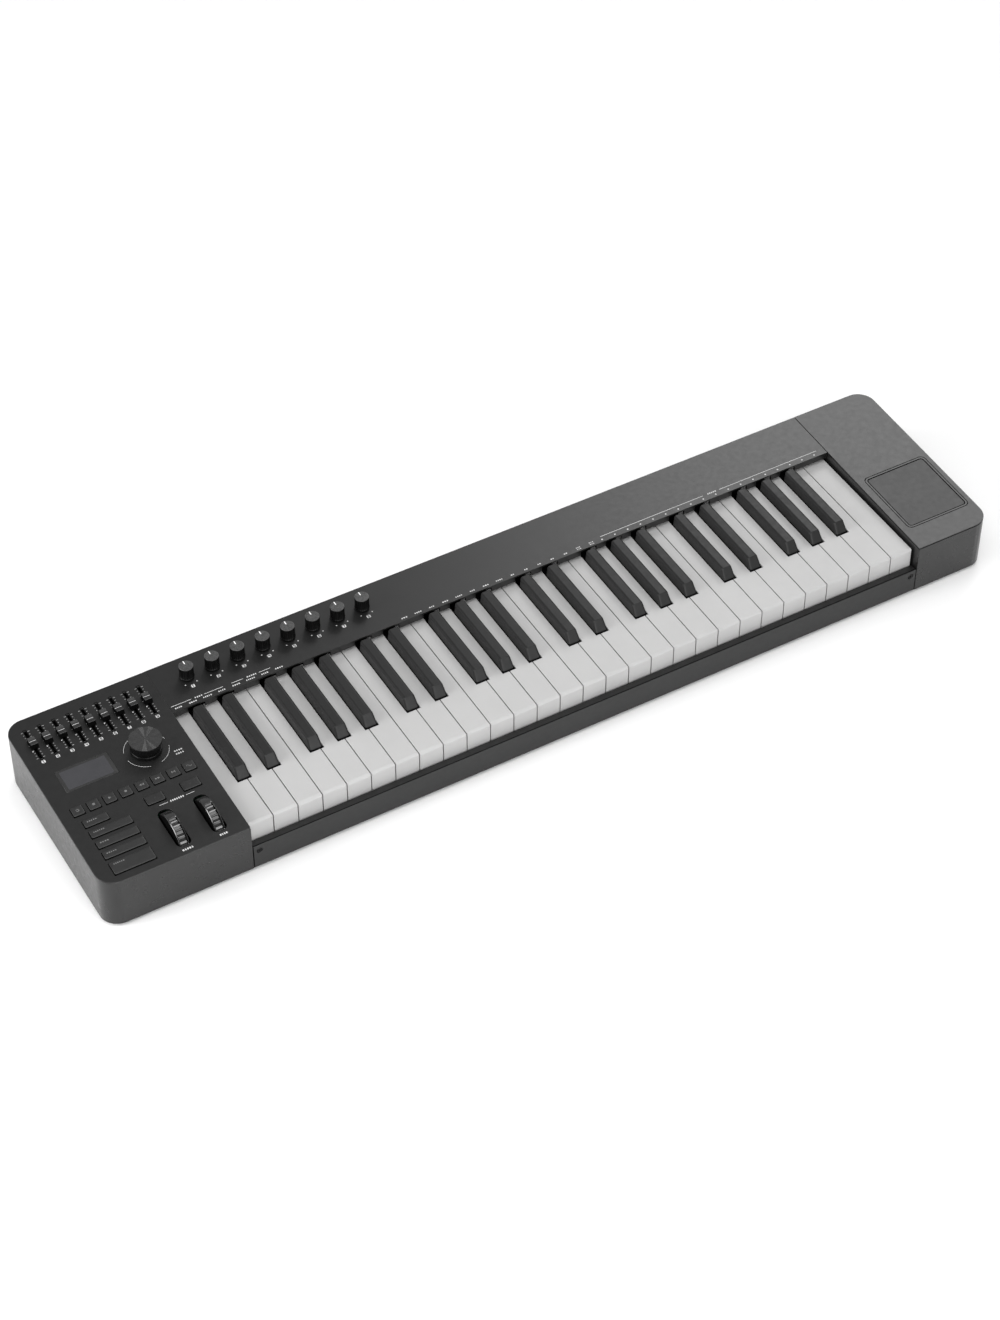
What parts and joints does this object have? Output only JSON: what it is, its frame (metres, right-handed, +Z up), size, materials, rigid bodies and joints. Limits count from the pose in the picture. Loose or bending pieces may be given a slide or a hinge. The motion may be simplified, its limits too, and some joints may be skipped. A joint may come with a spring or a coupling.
{
  "type": "midi keyboard controller",
  "caption": "Piano-style MIDI keyboard controller with sprung keys, faders, knobs, two wheels, push buttons, a display window and a touch pad.",
  "frame": {"origin": "on the table, under the middle of the case's box", "axes": "+X along the keys towards the treble, +Y from the player to the rear, +Z up"},
  "size_m": [0.9014, 0.2066, 0.0736],
  "materials": {
    "case_plastic": "satin moulded black",
    "panel_metal": "satin black anodised and painted sheet",
    "rail_metal": "satin black",
    "pad_plastic": "smooth satin",
    "display_glass": "smoked clear window",
    "frame_steel": "zinc plated",
    "circuit_board": "solder mask",
    "socket_plastic": "moulded black",
    "black_steel": "black oxide",
    "foot_rubber": "matte",
    "wheel_rubber": "smooth moulded, glossy ribs",
    "knob_plastic": "fluted black",
    "cap_plastic": "satin with a white line",
    "button_rubber": "matte silicone",
    "white_key": "fine matte texture",
    "black_key": "fine matte texture"
  },
  "bodies": {
    "chassis": {"lower_case": "case_plastic", "front_rail": "rail_metal", "left_top_panel": "panel_metal", "right_top_panel": "panel_metal", "touch_pad": "pad_plastic", "display_window": "display_glass", "rear_deck": "panel_metal", "keybed_frame": "frame_steel", "wheel_bracket": "frame_steel", "circuit_boards": "circuit_board", "rear_sockets": "socket_plastic", "screws": "black_steel", "feet": "foot_rubber"},
    "keys_c": {"keys_c": "white_key"},
    "keys_c_sharp": {"keys_c_sharp": "black_key"},
    "keys_d": {"keys_d": "white_key"},
    "keys_d_sharp": {"keys_d_sharp": "black_key"},
    "keys_e": {"keys_e": "white_key"},
    "keys_f": {"keys_f": "white_key"},
    "keys_f_sharp": {"keys_f_sharp": "black_key"},
    "keys_g": {"keys_g": "white_key"},
    "keys_g_sharp": {"keys_g_sharp": "black_key"},
    "keys_a": {"keys_a": "white_key"},
    "keys_a_sharp": {"keys_a_sharp": "black_key"},
    "keys_b": {"keys_b": "white_key"},
    "pitch_wheel": {"pitch_wheel": "wheel_rubber"},
    "mod_wheel": {"mod_wheel": "wheel_rubber"},
    "encoder_knob": {"encoder_knob": "knob_plastic"},
    "fader_cap_1": {"fader_cap_1": "cap_plastic"},
    "fader_cap_2": {"fader_cap_2": "cap_plastic"},
    "fader_cap_3": {"fader_cap_3": "cap_plastic"},
    "fader_cap_4": {"fader_cap_4": "cap_plastic"},
    "fader_cap_5": {"fader_cap_5": "cap_plastic"},
    "fader_cap_6": {"fader_cap_6": "cap_plastic"},
    "fader_cap_7": {"fader_cap_7": "cap_plastic"},
    "fader_cap_8": {"fader_cap_8": "cap_plastic"},
    "fader_cap_9": {"fader_cap_9": "cap_plastic"},
    "knob_1": {"knob_1": "knob_plastic"},
    "knob_2": {"knob_2": "knob_plastic"},
    "knob_3": {"knob_3": "knob_plastic"},
    "knob_4": {"knob_4": "knob_plastic"},
    "knob_5": {"knob_5": "knob_plastic"},
    "knob_6": {"knob_6": "knob_plastic"},
    "knob_7": {"knob_7": "knob_plastic"},
    "knob_8": {"knob_8": "knob_plastic"},
    "transport_button_1": {"transport_button_1": "button_rubber"},
    "transport_button_2": {"transport_button_2": "button_rubber"},
    "transport_button_3": {"transport_button_3": "button_rubber"},
    "transport_button_4": {"transport_button_4": "button_rubber"},
    "transport_button_5": {"transport_button_5": "button_rubber"},
    "transport_button_6": {"transport_button_6": "button_rubber"},
    "transport_button_7": {"transport_button_7": "button_rubber"},
    "transport_button_8": {"transport_button_8": "button_rubber"},
    "octave_down_button": {"octave_down_button": "button_rubber"},
    "octave_up_button": {"octave_up_button": "button_rubber"},
    "function_button_1": {"function_button_1": "button_rubber"},
    "function_button_2": {"function_button_2": "button_rubber"},
    "function_button_3": {"function_button_3": "button_rubber"},
    "function_button_4": {"function_button_4": "button_rubber"},
    "function_button_5": {"function_button_5": "button_rubber"}
  },
  "joints": [
    {"name": "keys_c_press", "type": "hinge", "parent": "chassis", "child": "keys_c", "pos_m": [0, 0.0893, 0.0426], "axis": [1, 0, 0], "range_deg": [0, 3], "stiffness_Nm_per_rad": 2.5, "springref_deg": -5.73},
    {"name": "keys_c_sharp_press", "type": "hinge", "parent": "chassis", "child": "keys_c_sharp", "pos_m": [0, 0.0893, 0.0426], "axis": [1, 0, 0], "range_deg": [0, 3], "stiffness_Nm_per_rad": 2.5, "springref_deg": -5.73},
    {"name": "keys_d_press", "type": "hinge", "parent": "chassis", "child": "keys_d", "pos_m": [0, 0.0893, 0.0426], "axis": [1, 0, 0], "range_deg": [0, 3], "stiffness_Nm_per_rad": 2.5, "springref_deg": -5.73},
    {"name": "keys_d_sharp_press", "type": "hinge", "parent": "chassis", "child": "keys_d_sharp", "pos_m": [0, 0.0893, 0.0426], "axis": [1, 0, 0], "range_deg": [0, 3], "stiffness_Nm_per_rad": 2.5, "springref_deg": -5.73},
    {"name": "keys_e_press", "type": "hinge", "parent": "chassis", "child": "keys_e", "pos_m": [0, 0.0893, 0.0426], "axis": [1, 0, 0], "range_deg": [0, 3], "stiffness_Nm_per_rad": 2.5, "springref_deg": -5.73},
    {"name": "keys_f_press", "type": "hinge", "parent": "chassis", "child": "keys_f", "pos_m": [0, 0.0893, 0.0426], "axis": [1, 0, 0], "range_deg": [0, 3], "stiffness_Nm_per_rad": 2.5, "springref_deg": -5.73},
    {"name": "keys_f_sharp_press", "type": "hinge", "parent": "chassis", "child": "keys_f_sharp", "pos_m": [0, 0.0893, 0.0426], "axis": [1, 0, 0], "range_deg": [0, 3], "stiffness_Nm_per_rad": 2.5, "springref_deg": -5.73},
    {"name": "keys_g_press", "type": "hinge", "parent": "chassis", "child": "keys_g", "pos_m": [0, 0.0893, 0.0426], "axis": [1, 0, 0], "range_deg": [0, 3], "stiffness_Nm_per_rad": 2.5, "springref_deg": -5.73},
    {"name": "keys_g_sharp_press", "type": "hinge", "parent": "chassis", "child": "keys_g_sharp", "pos_m": [0, 0.0893, 0.0426], "axis": [1, 0, 0], "range_deg": [0, 3], "stiffness_Nm_per_rad": 2.5, "springref_deg": -5.73},
    {"name": "keys_a_press", "type": "hinge", "parent": "chassis", "child": "keys_a", "pos_m": [0, 0.0893, 0.0426], "axis": [1, 0, 0], "range_deg": [0, 3], "stiffness_Nm_per_rad": 2.5, "springref_deg": -5.73},
    {"name": "keys_a_sharp_press", "type": "hinge", "parent": "chassis", "child": "keys_a_sharp", "pos_m": [0, 0.0893, 0.0426], "axis": [1, 0, 0], "range_deg": [0, 3], "stiffness_Nm_per_rad": 2.5, "springref_deg": -5.73},
    {"name": "keys_b_press", "type": "hinge", "parent": "chassis", "child": "keys_b", "pos_m": [0, 0.0893, 0.0426], "axis": [1, 0, 0], "range_deg": [0, 3], "stiffness_Nm_per_rad": 2.5, "springref_deg": -5.73},
    {"name": "pitch_wheel_turn", "type": "hinge", "parent": "chassis", "child": "pitch_wheel", "pos_m": [-0.3706, -0.0721, 0.04097], "axis": [1, 0, 0], "range_deg": [-30, 30], "stiffness_Nm_per_rad": 0.05},
    {"name": "mod_wheel_turn", "type": "hinge", "parent": "chassis", "child": "mod_wheel", "pos_m": [-0.3375, -0.0721, 0.04097], "axis": [1, 0, 0], "range_deg": [-35, 35]},
    {"name": "encoder_knob_turn", "type": "hinge", "parent": "chassis", "child": "encoder_knob", "pos_m": [-0.3532, 0.0187, 0.05821], "axis": [0, 0, 1], "continuous": true},
    {"name": "fader_cap_1_slide", "type": "slide", "parent": "chassis", "child": "fader_cap_1", "axis": [0, 0.9997, 0.0247], "range_m": [-0.015, 0.015]},
    {"name": "fader_cap_2_slide", "type": "slide", "parent": "chassis", "child": "fader_cap_2", "axis": [0, 0.9997, 0.0247], "range_m": [-0.015, 0.015]},
    {"name": "fader_cap_3_slide", "type": "slide", "parent": "chassis", "child": "fader_cap_3", "axis": [0, 0.9997, 0.0247], "range_m": [-0.015, 0.015]},
    {"name": "fader_cap_4_slide", "type": "slide", "parent": "chassis", "child": "fader_cap_4", "axis": [0, 0.9997, 0.0247], "range_m": [-0.015, 0.015]},
    {"name": "fader_cap_5_slide", "type": "slide", "parent": "chassis", "child": "fader_cap_5", "axis": [0, 0.9997, 0.0247], "range_m": [-0.015, 0.015]},
    {"name": "fader_cap_6_slide", "type": "slide", "parent": "chassis", "child": "fader_cap_6", "axis": [0, 0.9997, 0.0247], "range_m": [-0.015, 0.015]},
    {"name": "fader_cap_7_slide", "type": "slide", "parent": "chassis", "child": "fader_cap_7", "axis": [0, 0.9997, 0.0247], "range_m": [-0.015, 0.015]},
    {"name": "fader_cap_8_slide", "type": "slide", "parent": "chassis", "child": "fader_cap_8", "axis": [0, 0.9997, 0.0247], "range_m": [-0.015, 0.015]},
    {"name": "fader_cap_9_slide", "type": "slide", "parent": "chassis", "child": "fader_cap_9", "axis": [0, 0.9997, 0.0247], "range_m": [-0.015, 0.015]},
    {"name": "knob_1_turn", "type": "hinge", "parent": "chassis", "child": "knob_1", "pos_m": [-0.2852, 0.0793, 0.05971], "axis": [0, 0, 1], "range_deg": [-150, 150]},
    {"name": "knob_2_turn", "type": "hinge", "parent": "chassis", "child": "knob_2", "pos_m": [-0.26033, 0.0793, 0.05971], "axis": [0, 0, 1], "range_deg": [-150, 150]},
    {"name": "knob_3_turn", "type": "hinge", "parent": "chassis", "child": "knob_3", "pos_m": [-0.23546, 0.0793, 0.05971], "axis": [0, 0, 1], "range_deg": [-150, 150]},
    {"name": "knob_4_turn", "type": "hinge", "parent": "chassis", "child": "knob_4", "pos_m": [-0.21059, 0.0793, 0.05971], "axis": [0, 0, 1], "range_deg": [-150, 150]},
    {"name": "knob_5_turn", "type": "hinge", "parent": "chassis", "child": "knob_5", "pos_m": [-0.18572, 0.0793, 0.05971], "axis": [0, 0, 1], "range_deg": [-150, 150]},
    {"name": "knob_6_turn", "type": "hinge", "parent": "chassis", "child": "knob_6", "pos_m": [-0.16085, 0.0793, 0.05971], "axis": [0, 0, 1], "range_deg": [-150, 150]},
    {"name": "knob_7_turn", "type": "hinge", "parent": "chassis", "child": "knob_7", "pos_m": [-0.13598, 0.0793, 0.05971], "axis": [0, 0, 1], "range_deg": [-150, 150]},
    {"name": "knob_8_turn", "type": "hinge", "parent": "chassis", "child": "knob_8", "pos_m": [-0.11111, 0.0793, 0.05971], "axis": [0, 0, 1], "range_deg": [-150, 150]},
    {"name": "transport_button_1_press", "type": "slide", "parent": "chassis", "child": "transport_button_1", "axis": [0, 0, -1], "range_m": [0, 0.001], "stiffness_N_per_m": 800, "springref_m": -0.001},
    {"name": "transport_button_2_press", "type": "slide", "parent": "chassis", "child": "transport_button_2", "axis": [0, 0, -1], "range_m": [0, 0.001], "stiffness_N_per_m": 800, "springref_m": -0.001},
    {"name": "transport_button_3_press", "type": "slide", "parent": "chassis", "child": "transport_button_3", "axis": [0, 0, -1], "range_m": [0, 0.001], "stiffness_N_per_m": 800, "springref_m": -0.001},
    {"name": "transport_button_4_press", "type": "slide", "parent": "chassis", "child": "transport_button_4", "axis": [0, 0, -1], "range_m": [0, 0.001], "stiffness_N_per_m": 800, "springref_m": -0.001},
    {"name": "transport_button_5_press", "type": "slide", "parent": "chassis", "child": "transport_button_5", "axis": [0, 0, -1], "range_m": [0, 0.001], "stiffness_N_per_m": 800, "springref_m": -0.001},
    {"name": "transport_button_6_press", "type": "slide", "parent": "chassis", "child": "transport_button_6", "axis": [0, 0, -1], "range_m": [0, 0.001], "stiffness_N_per_m": 800, "springref_m": -0.001},
    {"name": "transport_button_7_press", "type": "slide", "parent": "chassis", "child": "transport_button_7", "axis": [0, 0, -1], "range_m": [0, 0.001], "stiffness_N_per_m": 800, "springref_m": -0.001},
    {"name": "transport_button_8_press", "type": "slide", "parent": "chassis", "child": "transport_button_8", "axis": [0, 0, -1], "range_m": [0, 0.001], "stiffness_N_per_m": 800, "springref_m": -0.001},
    {"name": "octave_down_button_press", "type": "slide", "parent": "chassis", "child": "octave_down_button", "axis": [0, 0, -1], "range_m": [0, 0.001], "stiffness_N_per_m": 800, "springref_m": -0.001},
    {"name": "octave_up_button_press", "type": "slide", "parent": "chassis", "child": "octave_up_button", "axis": [0, 0, -1], "range_m": [0, 0.001], "stiffness_N_per_m": 800, "springref_m": -0.001},
    {"name": "function_button_1_press", "type": "slide", "parent": "chassis", "child": "function_button_1", "axis": [0, 0, -1], "range_m": [0, 0.001], "stiffness_N_per_m": 800, "springref_m": -0.001},
    {"name": "function_button_2_press", "type": "slide", "parent": "chassis", "child": "function_button_2", "axis": [0, 0, -1], "range_m": [0, 0.001], "stiffness_N_per_m": 800, "springref_m": -0.001},
    {"name": "function_button_3_press", "type": "slide", "parent": "chassis", "child": "function_button_3", "axis": [0, 0, -1], "range_m": [0, 0.001], "stiffness_N_per_m": 800, "springref_m": -0.001},
    {"name": "function_button_4_press", "type": "slide", "parent": "chassis", "child": "function_button_4", "axis": [0, 0, -1], "range_m": [0, 0.001], "stiffness_N_per_m": 800, "springref_m": -0.001},
    {"name": "function_button_5_press", "type": "slide", "parent": "chassis", "child": "function_button_5", "axis": [0, 0, -1], "range_m": [0, 0.001], "stiffness_N_per_m": 800, "springref_m": -0.001}
  ]
}
